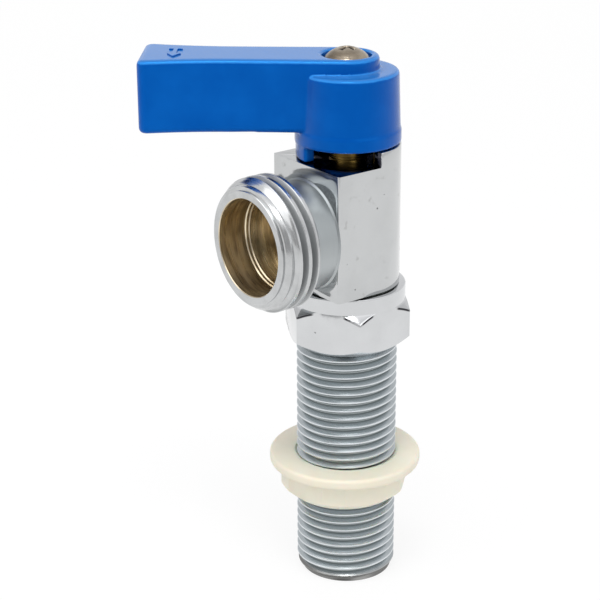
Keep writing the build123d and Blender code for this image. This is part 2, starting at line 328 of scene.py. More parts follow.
def mixColors(tree, factor, first, second):
    node = addNode(tree, "ShaderNodeMix", data_type="RGBA")
    tree.links.new(factor, node.inputs["Factor"])
    for socket, value in ((node.inputs[6], first), (node.inputs[7], second)):
        if isinstance(value, tuple):
            socket.default_value = (*value, 1)
        else:
            tree.links.new(value, socket)
    return node.outputs[2]


def addBump(tree, shader, height, strength, distance):
    bump = addNode(tree, "ShaderNodeBump")
    setInputs(bump, Strength=strength, Distance=distance)
    tree.links.new(height, bump.inputs["Height"])
    tree.links.new(bump.outputs["Normal"], shader.inputs["Normal"])


def makeChrome(name, color, roughness, pitShare):
    material, tree, shader = startMaterial(name, color, 1.0, roughness)
    tone = useGroup(tree, toneGroup, Scale=90.0, Grain=1500.0)
    pits = useGroup(tree, pitGroup, Scale=620.0, Size=0.13, Share=pitShare)
    cloudy = mixColors(tree, mapRange(tree, tone.outputs["Slow"], 0.35, 0.7), color,
                       tuple(0.93 * c for c in color))
    tree.links.new(mixColors(tree, pits.outputs["Mask"], cloudy, (0.22, 0.22, 0.22)),
                   shader.inputs["Base Color"])
    tree.links.new(mapRange(tree, tone.outputs["Fine"], 0.3, 0.7, roughness, roughness + 0.06),
                   shader.inputs["Roughness"])
    addBump(tree, shader, tone.outputs["Slow"], 0.10, 0.0004)
    return material


def multiply(tree, *sources):
    return joinValues(tree, "MULTIPLY", *sources)


def band(tree, source, rise=None, fall=None):
    # 1 between a rise and a fall, each given by where it starts and ends in mm
    parts = []
    if rise:
        parts.append(mapRange(tree, source, rise[0] * mm, rise[1] * mm))
    if fall:
        parts.append(mapRange(tree, source, fall[0] * mm, fall[1] * mm, 1.0, 0.0))
    return multiply(tree, *parts)


def stain(material, mask, color):
    # lays a stain over whatever already feeds the base colour
    tree = material.node_tree
    socket = tree.nodes["Principled BSDF"].inputs["Base Color"]
    tree.links.new(mixColors(tree, mask, socket.links[0].from_socket, color), socket)


def makeBodyChrome():
    # the block's plating, with painted shade and painted reflection of the hub's dark underside: nearly black
    # on the top under the hub, on the stop wall's inner face and on its end face
    look = {"color": (0.57, 0.58, 0.585), "paintedHubShade": (0.06, 0.06, 0.08), "smudge": (0.30, 0.30, 0.29)}
    material = makeChrome("bodyChrome", look["color"], 0.07, 0.58)
    tree = material.node_tree
    place = useGroup(tree, placeGroup)
    tone = useGroup(tree, toneGroup, Scale=420.0)
    radius, height = place.outputs["Radius"], place.outputs["Distance"]
    # painted shade and reflection: masks for the top under the hub, the stop wall's inner face and the wall's
    # end face
    top = multiply(tree, band(tree, radius, fall=(10.1, 10.45)),
                   band(tree, height, rise=(90.4, 90.52), fall=(90.7, 90.9)))
    wall = multiply(tree, band(tree, radius, fall=(7.87, 7.93)), band(tree, height, rise=(90.5, 90.6)))
    wallEnd = multiply(tree, band(tree, splitCoords(tree)["Y"], fall=(0.05, 0.1)),
                       band(tree, radius, rise=(8.03, 8.1), fall=(10.2, 10.3)),
                       band(tree, height, rise=(90.6, 90.8)))
    for mask in (top, wall, wallEnd):
        stain(material, mask, look["paintedHubShade"])
    stain(material, mapRange(tree, tone.outputs["Slow"], 0.62, 0.74, 0.0, 0.35), look["smudge"])
    return material


def makeAdapterChrome():
    # the hexagon's plating, with a painted dark reflection along the edges of its corner chamfers
    look = {"color": (0.66, 0.67, 0.68), "chamferReflection": (0.04, 0.04, 0.045)}
    material = makeChrome("adapterChrome", look["color"], 0.07, 0.66)
    tree = material.node_tree
    place = useGroup(tree, placeGroup)
    tone = useGroup(tree, toneGroup, Scale=260.0)
    radius, height = place.outputs["Radius"], place.outputs["Distance"]
    cone = joinValues(tree, "ADD", radius, height)  # one value all over the chamfer
    chamfer = hexagon["topRadius"] + hexagon["top"]
    # painted reflection: a dark line along each corner chamfer's edge
    line = multiply(tree, band(tree, cone, (chamfer - 0.6, chamfer - 0.38), (chamfer - 0.06, chamfer + 0.02)),
                    band(tree, radius, rise=(11.95, 12.15)), band(tree, height, rise=(59.0, 59.4)),
                    mapRange(tree, tone.outputs["Slow"], 0.35, 0.5, 0.4, 1.0))
    stain(material, line, look["chamferReflection"])
    return material


def makeSpoutChrome():
    # turned and plated; darker on the neck, with painted reflection darkening the top of the neck and painted
    # shade below the thread's crests
    look = {"color": (0.58, 0.59, 0.595), "grooves": (0.35, 0.36, 0.365), "neck": (0.46, 0.485, 0.495),
            "neckTopReflection": (0.33, 0.355, 0.365)}
    material, tree, shader = startMaterial("spoutChrome", look["color"], 1.0, 0.2)
    place = useGroup(tree, placeGroup, Along=1.0, Height=outletHeight * mm)
    tone = useGroup(tree, toneGroup, Scale=260.0, Grain=1500.0)
    turned = useGroup(tree, turnedGroup, Along=1.0, Fineness=5200.0)
    distance = place.outputs["Distance"]
    # painted shade: the base colour is darker below the thread's crests
    grooves = multiply(tree, band(tree, place.outputs["Radius"], fall=(13.22, 13.45)),
                       band(tree, distance, fall=(21.8, 22.3)))
    neck = band(tree, distance, fall=(14.8, 16.5))
    cloudy = mixColors(tree, mapRange(tree, tone.outputs["Slow"], 0.35, 0.7), look["color"],
                       tuple(0.86 * c for c in look["color"]))
    threaded = mixColors(tree, grooves, cloudy, look["grooves"])
    # painted reflection: the neck darkens towards its top
    height = splitCoords(tree)["Z"]
    plain = mixColors(tree, band(tree, height, rise=(72.0, 83.0)), look["neck"], look["neckTopReflection"])
    tree.links.new(mixColors(tree, neck, threaded, plain), shader.inputs["Base Color"])
    fine = mapRange(tree, turned.outputs["Lines"], 0.3, 0.7, 0.15, 0.25)
    rough = addNode(tree, "ShaderNodeMath", operation="MULTIPLY_ADD")  # the cut flanks are rougher
    rough.inputs[1].default_value = 0.2
    tree.links.new(grooves, rough.inputs[0])
    tree.links.new(fine, rough.inputs[2])
    tree.links.new(rough.outputs[0], shader.inputs["Roughness"])
    addBump(tree, shader, turned.outputs["Lines"], 0.08, 0.0001)
    return material


def makeThreadPlate():
    # satin plating on the cut thread, with painted shade: darker below the crests, darkest at the roots, and
    # darker at the bottom end
    look = {"crests": (0.70, 0.735, 0.76), "flanks": (0.46, 0.50, 0.52), "roots": (0.33, 0.36, 0.365),
            "end": (0.205, 0.205, 0.20)}
    material, tree, shader = startMaterial("satinThreadPlate", look["flanks"], 1.0, 0.27)
    place = useGroup(tree, placeGroup)
    radius = place.outputs["Radius"]
    turned = useGroup(tree, turnedGroup, Along=0.0, Fineness=5200.0)
    tone = useGroup(tree, toneGroup, Scale=140.0, Grain=2600.0)
    # painted shade: flanks and roots darker than the crests
    sides = mixColors(tree, band(tree, radius, rise=(9.35, 9.7)), look["roots"], look["flanks"])
    clouded = mixColors(tree, mapRange(tree, tone.outputs["Slow"], 0.3, 0.75, 0.0, 0.16), sides,
                        look["roots"])
    tree.links.new(mixColors(tree, band(tree, radius, rise=(10.2, 10.3)), clouded, look["crests"]),
                   shader.inputs["Base Color"])
    # painted shade at the bottom end
    stain(material, band(tree, place.outputs["Distance"], fall=(1.4, 2.4)), look["end"])
    tree.links.new(mapRange(tree, turned.outputs["Lines"], 0.3, 0.7, 0.22, 0.36),
                   shader.inputs["Roughness"])
    addBump(tree, shader, turned.outputs["Lines"], 0.12, 0.0001)
    return material


def makeBrass(name, color, stain, along, roughness):
    # bare turned brass with tool lines and brown staining
    material, tree, shader = startMaterial(name, color, 1.0, roughness)
    turned = useGroup(tree, turnedGroup, Along=along, Fineness=4200.0)
    tone = useGroup(tree, toneGroup, Scale=110.0, Grain=1800.0)
    streaked = mixColors(tree, mapRange(tree, turned.outputs["Bands"], 0.35, 0.68), color, stain)
    aged = mixColors(tree, mapRange(tree, tone.outputs["Slow"], 0.42, 0.72), streaked,
                     tuple(0.55 * c for c in stain))
    tree.links.new(aged, shader.inputs["Base Color"])
    tree.links.new(mapRange(tree, turned.outputs["Lines"], 0.3, 0.7, roughness - 0.06, roughness + 0.1),
                   shader.inputs["Roughness"])
    addBump(tree, shader, turned.outputs["Lines"], 0.25, 0.00012)
    return material


def makeHandlePaint(name, color, lighter, paintedTopLight):
    # the faces that look up take a lighter colour as painted light, and lighter still along their rounded
    # edges as a painted highlight
    material, tree, shader = startMaterial(name, color, 0.0, 0.16, IOR=1.5,
                                           Specular_Tint=(0.02, 0.40, 1.0, 1.0))
    tone = useGroup(tree, toneGroup, Scale=70.0, Grain=1100.0)
    tree.links.new(mixColors(tree, mapRange(tree, tone.outputs["Slow"], 0.35, 0.7), color, lighter),
                   shader.inputs["Base Color"])
    facing = splitCoords(tree, "Normal")["Z"]
    # painted light on the faces that look up
    stain(material, mapRange(tree, facing, 0.6, 0.97), paintedTopLight)
    place = useGroup(tree, placeGroup)
    # painted highlight along the rounded upper edges, above about 100 mm
    paintedEdgeHighlight = multiply(tree, mapRange(tree, facing, 0.25, 0.5),
                      mapRange(tree, facing, 0.75, 0.92, 1.0, 0.0),
                      band(tree, place.outputs["Distance"], rise=(99.0, 100.0)))
    stain(material, paintedEdgeHighlight, tuple(1.25 * c for c in paintedTopLight))
    tree.links.new(mapRange(tree, tone.outputs["Fine"], 0.3, 0.7, 0.13, 0.2), shader.inputs["Roughness"])
    addBump(tree, shader, tone.outputs["Slow"], 0.08, 0.0006)
    return material


def makePlastic(name, color, darker, roughness, glow):
    # moulded plastic that lets a little light through
    material, tree, shader = startMaterial(name, color, 0.0, roughness, IOR=1.4,
                                           Subsurface_Weight=glow, Subsurface_Scale=0.002)
    tone = useGroup(tree, toneGroup, Scale=85.0, Grain=2100.0)
    tree.links.new(mixColors(tree, mapRange(tree, tone.outputs["Slow"], 0.3, 0.72), color, darker),
                   shader.inputs["Base Color"])
    tree.links.new(mapRange(tree, tone.outputs["Fine"], 0.3, 0.7, roughness - 0.05, roughness + 0.08),
                   shader.inputs["Roughness"])
    addBump(tree, shader, tone.outputs["Fine"], 0.12, 0.00008)
    return material


def makeRubber(name, color):
    material, tree, shader = startMaterial(name, color, 0.0, 0.62)
    tone = useGroup(tree, toneGroup, Scale=300.0, Grain=4200.0)
    tree.links.new(mixColors(tree, mapRange(tree, tone.outputs["Slow"], 0.3, 0.7), color,
                             tuple(min(1.0, 1.6 * c + 0.01) for c in color)), shader.inputs["Base Color"])
    addBump(tree, shader, tone.outputs["Fine"], 0.3, 0.00006)
    return material


bodyChrome = makeBodyChrome()
spoutChrome = makeSpoutChrome()
ballChrome = makeChrome("ballChrome", (0.62, 0.62, 0.63), 0.06, 0.70)
threadPlate = makeThreadPlate()
boreBrass = makeBrass("boreBrass", (0.88, 0.77, 0.565), (0.45, 0.37, 0.255), 1.0, 0.30)
# the stem's brass is darkened overall as painted shade for the gap under the hub
shadedStemBrass = makeBrass("shadedStemBrass", (0.46, 0.30, 0.075), (0.19, 0.12, 0.028), 0.0, 0.28)
screwNickel = makeBrass("screwNickel", (0.44, 0.38, 0.30), (0.27, 0.22, 0.165), 0.0, 0.22)
handlePaint = makeHandlePaint("glossBluePaint", (0.001, 0.066, 0.33), (0.002, 0.085, 0.385),
                             (0.02, 0.155, 0.46))
shadedPaint = makeHandlePaint("shadedBluePaint", (0.0006, 0.012, 0.075), (0.001, 0.018, 0.095),
                             (0.001, 0.018, 0.095))
nutPlastic = makePlastic("nutPlastic", (0.755, 0.725, 0.605), (0.70, 0.665, 0.54), 0.42, 0.25)
seatPlastic = makePlastic("seatPlastic", (0.86, 0.86, 0.82), (0.80, 0.80, 0.75), 0.35, 0.1)
ringRubber = makeRubber("ringRubber", (0.02, 0.02, 0.02))
gasketFibre = makeRubber("gasketFibre", (0.05, 0.06, 0.05))
print("materials made")


# ---------- inlet shank with its thread, hexagon and collar

shank = {
    "length": 51.75,
    "relief": 51.25,
    "socketRadius": 7.985,
    "socketDepth": 12.7,
    "socketEdge": 0.4,
    "boreRadius": 6.0,
    "endRadius": 9.55,
    "endChamfer": 1.8,
    "thread": {"crestRadius": 10.33, "rootRadius": 9.23, "pitch": 1.8143, "crestFlat": 0.24,
               "rootFlat": 0.22, "start": -4.08, "startAngle": -38.8},
}


def buildShank(bm):
    addThread(bm, shank["thread"], turns=32)
    cutFlat(bm, shank["endChamfer"])
    cutFlat(bm, shank["relief"])
    root = shank["thread"]["rootRadius"]
    slope = (shank["thread"]["crestRadius"] - shank["endRadius"]) / shank["endChamfer"]
    limitRadius(bm, lambda radius, z: root if z > shank["relief"] else
                min(radius, shank["endRadius"] + slope * max(z, 0.0)))
    cutFlat(bm, 0.0, up=False)
    cutFlat(bm, shank["length"], up=True)
    socket, edge, bore = shank["socketRadius"], shank["socketEdge"], shank["boreRadius"]
    turnProfile(bm, [(socket + edge, 0), (socket, edge), (socket, shank["socketDepth"]),
                     (bore, shank["socketDepth"]), (bore, shank["length"])], closed=False)
    fillRing(bm, 0.0, -1)
    fillRing(bm, shank["length"], 1)


hexagon = {
    "acrossFlats": 23.2,
    "cornerAngle": -27.4,
    "top": 61.1,
    "topRadius": 11.85,
    "footRadius": 10.5,
    "cornerRadius": 13.394,
    "footSlope": 1.35,
    "edge": 0.16,
}


def buildHexagon(bm):
    corner, foot, bore = hexagon["cornerRadius"], hexagon["footRadius"], shank["boreRadius"]
    bottom, top = shank["length"], hexagon["top"]
    footTop = bottom + (corner - foot) / hexagon["footSlope"]
    turnProfile(bm, [(bore, bottom), (foot, bottom), (corner, footTop),
                     (corner, top - (corner - hexagon["topRadius"])), (hexagon["topRadius"], top),
                     (bore, top)], steps=180)
    for side in range(6):
        turn = radians(hexagon["cornerAngle"] + 30 + 60 * side)
        away = Vector((cos(turn), sin(turn), 0))
        cutSide(bm, away, hexagon["acrossFlats"] / 2)
    bore += 1
    rims = [e for e in sharpEdges(bm, 12) if all(hypot(v.co.x, v.co.y) > bore for v in e.verts)]
    roundEdges(bm, rims, hexagon["edge"])


collar = {
    "top": 64.3,
    "radius": 11.85,
    "edge": 0.3,
    "spigotRadius": 8.0,
    "spigotTop": 68.9,
    "seatRadius": 5.75,
    "seatFloor": 67.27,
    "throatRadius": 4.3,
}


def buildCollar(bm):
    bottom, bore, throat = hexagon["top"], shank["boreRadius"], collar["throatRadius"]
    turnProfile(bm, [
        (bore, bottom), (collar["radius"], bottom), (collar["radius"], collar["top"]),
        (collar["spigotRadius"], collar["top"]), (collar["spigotRadius"], collar["spigotTop"]),
        (collar["seatRadius"], collar["spigotTop"]), (collar["seatRadius"], collar["seatFloor"]),
        (throat, collar["seatFloor"]), (throat, bottom + bore - throat)])
    rim = [e for e in bm.edges if all(abs(v.co.z - collar["top"]) < 0.01
                                      and hypot(v.co.x, v.co.y) > collar["spigotRadius"] + 1 for v in e.verts)
           and len(e.link_faces) == 2 and e.calc_face_angle() > 1]
    roundEdges(bm, rim, collar["edge"], segments=3)


def makeInlet():
    adapterChrome = makeAdapterChrome()
    bm = bmesh.new()
    buildShank(bm)
    for part in (buildHexagon, buildCollar):
        extra = bmesh.new()
        part(extra)
        for face in extra.faces:
            face.material_index = 1
        joinMesh(bm, extra)
    piece = makePiece("inletShank", bm, [threadPlate, adapterChrome], sharp=24)
    settle(piece, "valve", "adapter_chrome", "inlet_adapter")


makeInlet()
print("inlet shank made")


# ---------- valve body: block with its stop wall, and the hose outlet

block = {
    "halfWidth": 10.55,
    "face": 10.6,
    "bottom": 64.65,
    "top": 90.55,
    "corner": 0.5,
    "edge": 0.22,
    "wallHeight": 3.0,
    "wallThickness": 2.7,
    "cavityRadius": 8.4,
    "retainerSeat": 8.3,
    "spigotHole": (8.05, 69.0),
    "seatHole": (5.8, 71.1),
    "stemHole": 3.65,
    "flangeHole": (5.1, 86.2),
}


def sweepPoint(bm, vert, centre, turn, steps):
    # draws an arc from a vertex and returns its far end
    done = bmesh.ops.spin(bm, geom=[vert], cent=(*centre, vert.co.z), axis=(0, 0, 1), angle=radians(turn),
                          steps=steps)
    return next(item for item in done["geom_last"] if isinstance(item, bmesh.types.BMVert))


def buildBlock(bm):
    half, face, corner = block["halfWidth"], block["face"], block["corner"]
    first = bm.verts.new((half, corner - face, block["bottom"]))
    flank = bm.verts.new((half, 0, block["bottom"]))
    bm.edges.new((first, flank))
    back = sweepPoint(bm, flank, (0, 0), 180, 72)
    left = bm.verts.new((-half, corner - face, block["bottom"]))
    bm.edges.new((back, left))
    left = sweepPoint(bm, left, (corner - half, corner - face), 90, 6)
    right = bm.verts.new((half - corner, -face, block["bottom"]))
    bm.edges.new((left, right))
    sweepPoint(bm, right, (half - corner, corner - face), 90, 6)
    bmesh.ops.remove_doubles(bm, verts=bm.verts, dist=0.002)
    base = bmesh.ops.contextual_create(bm, geom=bm.edges[:])["faces"]
    raised = bmesh.ops.extrude_face_region(bm, geom=base, use_keep_orig=True)["geom"]
    bmesh.ops.translate(bm, vec=(0, 0, block["top"] - block["bottom"]),
                        verts=[item for item in raised if isinstance(item, bmesh.types.BMVert)])
    bmesh.ops.recalc_face_normals(bm, faces=bm.faces)
    rims = [e for e in sharpEdges(bm, 60)
            if e.verts[0].co.z < block["bottom"] + 1 or max(v.co.y for v in e.verts) < 0.01]
    roundEdges(bm, rims, block["edge"], segments=3)


def buildStopWall(bm):
    outer, inner = block["halfWidth"], block["halfWidth"] - block["wallThickness"]
    bottom, top = block["top"], block["top"] + block["wallHeight"]
    section = addProfile(bm, [(outer, bottom), (outer, top), (inner, top), (inner, bottom)], closed=True)
    end = bmesh.ops.contextual_create(bm, geom=section)["faces"]
    bmesh.ops.spin(bm, geom=end, cent=(0, 0, 0), axis=(0, 0, 1), angle=pi, steps=72, use_duplicate=False)
    bmesh.ops.recalc_face_normals(bm, faces=bm.faces)
    rims = [e for e in sharpEdges(bm, 60) if max(v.co.z for v in e.verts) > top - 0.01]
    roundEdges(bm, rims, block["edge"], segments=2)


def makeTool(points, place):
    bm = bmesh.new()
    turnProfile(bm, points, steps=96, closed=False)
    bmesh.ops.transform(bm, matrix=place, verts=bm.verts)
    return makePiece("tool", bm, [boreBrass])


def makeBlock():
    bm = bmesh.new()
    buildBlock(bm)
    piece = makePiece("valveBlock", bm, [bodyChrome, boreBrass], sharp=30)
    wall = bmesh.new()
    buildStopWall(wall)
    combine(piece, [makePiece("wall", wall, [bodyChrome])], "UNION")
    cavity, bore = block["cavityRadius"], spout["boreRadius"]
    hollow = [(cavity * sin(radians(a)), -cavity * cos(radians(a))) for a in range(0, 91, 6)]
    hollow[0] = (0, -cavity)
    cuts = [makeTool(hollow + [(cavity, block["retainerSeat"]), (bore, block["retainerSeat"]),
                               (bore, block["face"] + 2), (0, block["face"] + 2)], toOutlet)]
    spigot, spigotTop = block["spigotHole"]
    seat, seatTop = block["seatHole"]
    flange, ceiling = block["flangeHole"]
    cuts.append(makeTool([(0, block["bottom"] - 2), (spigot, block["bottom"] - 2), (spigot, spigotTop),
                          (seat, spigotTop), (seat, seatTop), (0, seatTop)], Matrix()))
    cuts.append(makeTool([(0, outletHeight), (flange, outletHeight), (flange, ceiling),
                          (block["stemHole"], ceiling), (block["stemHole"], block["top"] + 2),
                          (0, block["top"] + 2)], Matrix()))
    combine(piece, cuts)
    settle(piece, "valve", "body_chrome", "valve_body")


spout = {
    "start": 10.6,
    "neckRadius": 10.9,
    "neckFillet": 0.35,
    "neckEnd": 15.4,
    "threadStart": 17.42,
    "threadEnd": 22.05,
    "coneEnd": 24.22,
    "coneRadius": 12.0,
    "lipStart": 24.28,
    "lipRadius": 11.3,
    "reach": 24.66,
    "edge": 0.12,
    "mouthRadius": 9.7,
    "mouthEdge": 0.15,
    "stepTop": 18.4,
    "stepBottom": 17.45,
    "boreRadius": 9.3,
    "thread": {"crestRadius": 13.49, "rootRadius": 12.24, "pitch": 2.209, "crestFlat": 0.62,
               "rootFlat": 0.14, "start": 8.246, "startAngle": 0.0},
}


def spoutRadius(radius, z):
    # the turned envelope of the thread: neck, back cone, lead cone and raised lip
    crest, neck = spout["thread"]["crestRadius"], spout["neckRadius"]
    rise = (z - spout["neckEnd"]) / (spout["threadStart"] - spout["neckEnd"])
    fall = (z - spout["threadEnd"]) / (spout["coneEnd"] - spout["threadEnd"])
    root = max(spout["start"] + spout["neckFillet"] - z, 0.0)
    backCone = neck + (crest - neck) * max(rise, 0.0) + root
    leadCone = crest - (crest - spout["coneRadius"]) * max(fall, 0.0)
    if z > spout["lipStart"] - 0.01:
        edge = max(z - spout["reach"] + spout["edge"], 0.0)
        leadCone = spout["lipRadius"] - edge
    return min(radius, backCone, leadCone)


def makeSpout():
    bm = bmesh.new()
    addThread(bm, spout["thread"], turns=9, steps=128)
    coneLength = spout["coneEnd"] - spout["threadEnd"]
    cone = [spout["threadEnd"] + share * coneLength for share in (0, 0.3, 0.6, 1)]
    for height in (spout["start"] + spout["neckFillet"], spout["neckEnd"], spout["threadStart"], *cone,
                   spout["lipStart"], spout["reach"] - spout["edge"]):
        cutFlat(bm, height)
    cutFlat(bm, spout["start"], up=False)
    cutFlat(bm, spout["reach"], up=True)
    limitRadius(bm, spoutRadius)
    mouth, bore, reach = spout["mouthRadius"], spout["boreRadius"], spout["reach"]
    middle, half = (mouth + bore) / 2, (mouth - bore) / 2
    inside = bmesh.new()
    turnProfile(inside, [(mouth + spout["mouthEdge"], reach), (mouth, reach - spout["mouthEdge"]),
                         (mouth, spout["stepTop"]), (middle, spout["stepTop"] - half),
                         (middle, spout["stepBottom"] + half), (bore, spout["stepBottom"]),
                         (bore, spout["start"])], closed=False)
    for face in inside.faces:
        face.material_index = 1
    joinMesh(bm, inside)
    fillRing(bm, reach, 1)
    fillRing(bm, spout["start"], -1)
    bmesh.ops.transform(bm, matrix=toOutlet, verts=bm.verts)
    piece = makePiece("hoseSpout", bm, [spoutChrome, boreBrass], sharp=24)
    settle(piece, "valve", "body_chrome", "valve_body")


makeBlock()
makeSpout()
print("valve body made")


# ---------- handle: a cast lever and hub, softened all over by its paint

lever = {
    "grid": 0.28,
    "softening": 3,
    "heading": -130.0,
    "offset": 0.35,
    "top": 111.15,
    "waist": 22.0,
    "length": 40.15,
    "coreHalf": 5.1,
    "coreFlare": 2.0,
    "coreStart": 12.0,
    "coreEnd": 39.2,
    "coreTop": 109.6,
    "pocketRadius": 5.15,
    "pocketFloor": 109.3,
    "hubBottom": 93.85,
    "hubInside": 8.9,
    "recessTop": 100.4,
    "arrow": {"place": 33.4, "halfLength": 4.2, "headRadius": 1.6, "shaftWidth": 0.85, "height": 0.3,
              "sink": 0.3, "edge": 0.09},
}


def inShade(point):
    # the cored underside, the screw's pocket and the hollow of the hub, which light hardly reaches
    turn = radians(lever["heading"])
    along = point.x * cos(turn) + point.y * sin(turn) - lever["offset"]
    aside = abs(point.y * cos(turn) - point.x * sin(turn))
    flare = max(along - lever["waist"], 0) / (lever["length"] - lever["waist"])
    core = (lever["coreStart"] < along < lever["coreEnd"] and point.z < lever["coreTop"]
            and aside < lever["coreHalf"] + lever["coreFlare"] * flare ** 2)
    pocket = (hypot(along, aside) < lever["pocketRadius"]
              and lever["pocketFloor"] - 0.3 < point.z < lever["top"] - 0.2)
    hollow = hypot(point.x, point.y) < lever["hubInside"] and point.z < lever["recessTop"]
    foot = hypot(point.x, point.y) < lever["hubInside"] + 1 and point.z < lever["hubBottom"] + 0.12
    return core or pocket or hollow or foot


def addArrow(bm):
    # a raised arrow with two heads across the lever, for the way it turns
    arrow = lever["arrow"]
    mark = bmesh.new()
    depth = arrow["height"] + arrow["sink"]
    bmesh.ops.create_cube(mark, size=1)
    bmesh.ops.scale(mark, vec=(2 * arrow["halfLength"] - arrow["headRadius"], arrow["shaftWidth"], depth),
                    verts=mark.verts)
    for turn in (0, pi):
        head = bmesh.ops.create_cone(mark, cap_ends=True, segments=3, radius1=arrow["headRadius"],
                                     radius2=arrow["headRadius"], depth=depth * 0.98)["verts"]
        bmesh.ops.rotate(mark, matrix=Matrix.Rotation(turn - pi / 2, 3, "Z"), verts=head)
        bmesh.ops.translate(mark, vec=((arrow["halfLength"] - arrow["headRadius"]) * cos(turn), 0, 0),
                            verts=head)
    roundEdges(mark, sharpEdges(mark, 40), arrow["edge"])
    level = lever["top"] + (arrow["height"] - arrow["sink"]) / 2
    place = (Matrix.Rotation(radians(lever["heading"]), 4, "Z")
             @ Matrix.Translation((arrow["place"] + lever["offset"], 0, level))
             @ Matrix.Rotation(pi / 2, 4, "Z"))
    bmesh.ops.transform(mark, matrix=place, verts=mark.verts)
    bmesh.ops.scale(mark, vec=(mm, mm, mm), verts=mark.verts)
    joinMesh(bm, mark)


def makeLever():
    bm = bmesh.new()
    bm.from_mesh(nodes["handle"].data)
    bmesh.ops.remove_doubles(bm, verts=bm.verts, dist=0.000002)
    mesh = bpy.data.meshes.new("leverHandle")
    bm.to_mesh(mesh)
    bm.free()
    piece = bpy.data.objects.new("leverHandle", mesh)
    scene.collection.objects.link(piece)
    skin = piece.modifiers.new("skin", "REMESH")
    skin.mode, skin.voxel_size, skin.adaptivity = "VOXEL", lever["grid"] * mm, 0.0
    applyModifiers(piece)
    bm = bmesh.new()
    bm.from_mesh(piece.data)
    for _ in range(lever["softening"]):
        bmesh.ops.smooth_vert(bm, verts=bm.verts, factor=0.5, use_axis_x=True, use_axis_y=True,
                              use_axis_z=True)
    for face in bm.faces:
        face.smooth = True
        face.material_index = int(inShade(face.calc_center_median() / mm))
    addArrow(bm)
    bm.to_mesh(piece.data)
    bm.free()
    piece.data.materials.clear()
    for material in (handlePaint, shadedPaint):
        piece.data.materials.append(material)
    settle(piece, "handle_set", "handle_blue", "handle")


makeLever()
print("handle made")


# ---------- handle screw with a cross recess

screw = {
    "headRadius": 4.62,
    "seat": 109.35,
    "side": 0.9,
    "height": 3.2,
    "shaftRadius": 2.415,
    "length": 11.2,
    "point": 0.5,
    "slotWidth": 1.25,
    "slotReach": 3.0,
    "slotDepth": 1.6,
    "slotTurn": 12.0,
    "shift": (-0.19, -0.23),
}


def makeScrew():
    head, seat, side, shaft = screw["headRadius"], screw["seat"], screw["side"], screw["shaftRadius"]
    rise = screw["height"] - side
    domeRadius = (head ** 2 + rise ** 2) / (2 * rise)
    centre = seat + screw["height"] - domeRadius
    widest = atan(head / (domeRadius - rise))
    dome = [(domeRadius * sin(widest * (1 - step / 10)), centre + domeRadius * cos(widest * (1 - step / 10)))
            for step in range(11)]
    dome[-1] = (0, seat + screw["height"])
    bm = bmesh.new()
    turnProfile(bm, [(0, seat - screw["length"]), (shaft - screw["point"], seat - screw["length"]),
                     (shaft, seat - screw["length"] + screw["point"]), (shaft, seat),
                     (head - 0.25, seat), (head, seat + 0.25)] + dome, steps=96, closed=False)
    across, ahead = screw["shift"]
    bmesh.ops.translate(bm, vec=(across, ahead, 0), verts=[v for v in bm.verts if v.co.z > seat + 0.1])
    # painted shade: the cross recess, below the dome's surface, is stained nearly black
    coords = addNode(screwNickel.node_tree, "ShaderNodeTexCoord")
    depth = addNode(screwNickel.node_tree, "ShaderNodeVectorMath", operation="DISTANCE")
    depth.inputs[1].default_value = (across * mm, ahead * mm, centre * mm)
    screwNickel.node_tree.links.new(coords.outputs["Object"], depth.inputs[0])
    stain(screwNickel, mapRange(screwNickel.node_tree, depth.outputs["Value"], (domeRadius - 0.45) * mm,
                                (domeRadius - 0.12) * mm, 1.0, 0.0), (0.02, 0.015, 0.01))
    piece = makePiece("crossScrew", bm, [screwNickel], sharp=30)
    cuts = []
    for quarter in (0, 90):
        bm = bmesh.new()
        bmesh.ops.create_cube(bm, size=1)
        bmesh.ops.scale(bm, vec=(2 * screw["slotReach"], screw["slotWidth"], 2 * screw["slotDepth"]),
                        verts=bm.verts)
        for vert in bm.verts:
            if vert.co.z < 0:  # the recess narrows towards its floor
                vert.co.x *= 0.45
                vert.co.y *= 0.7
        bmesh.ops.rotate(bm, matrix=Matrix.Rotation(radians(screw["slotTurn"] + quarter), 3, "Z"),
                         verts=bm.verts)
        bmesh.ops.translate(bm, vec=(across, ahead, seat + screw["height"] + 0.05), verts=bm.verts)
        cuts.append(makePiece("tool", bm, [screwNickel]))
    combine(piece, cuts)
    settle(piece, "handle_set", "screw_steel", "handle_screw")


makeScrew()
print("screw made")


# ---------- flanged lock nut

nut = {
    "bottom": 17.9,
    "top": 26.6,
    "flangeRadius": 15.75,
    "flangeThickness": 2.3,
    "flangeEdge": 0.75,
    "cornerRadius": 13.4,
    "narrowFace": 4.7,
    "cornerAngle": -48.0,
    "footRadius": 11.2,
    "footSlope": 0.84,
    "edge": 0.35,
    "thread": {"crestRadius": 10.45, "rootRadius": 9.45, "pitch": 1.8143, "crestFlat": 0.36,
               "rootFlat": 0.14, "start": -4.14, "startAngle": -38.8},
    "loose": (-0.24, -0.32, 0.0),
    "mouthRadius": 10.75,
    "mouthChamfer": 0.5,
}


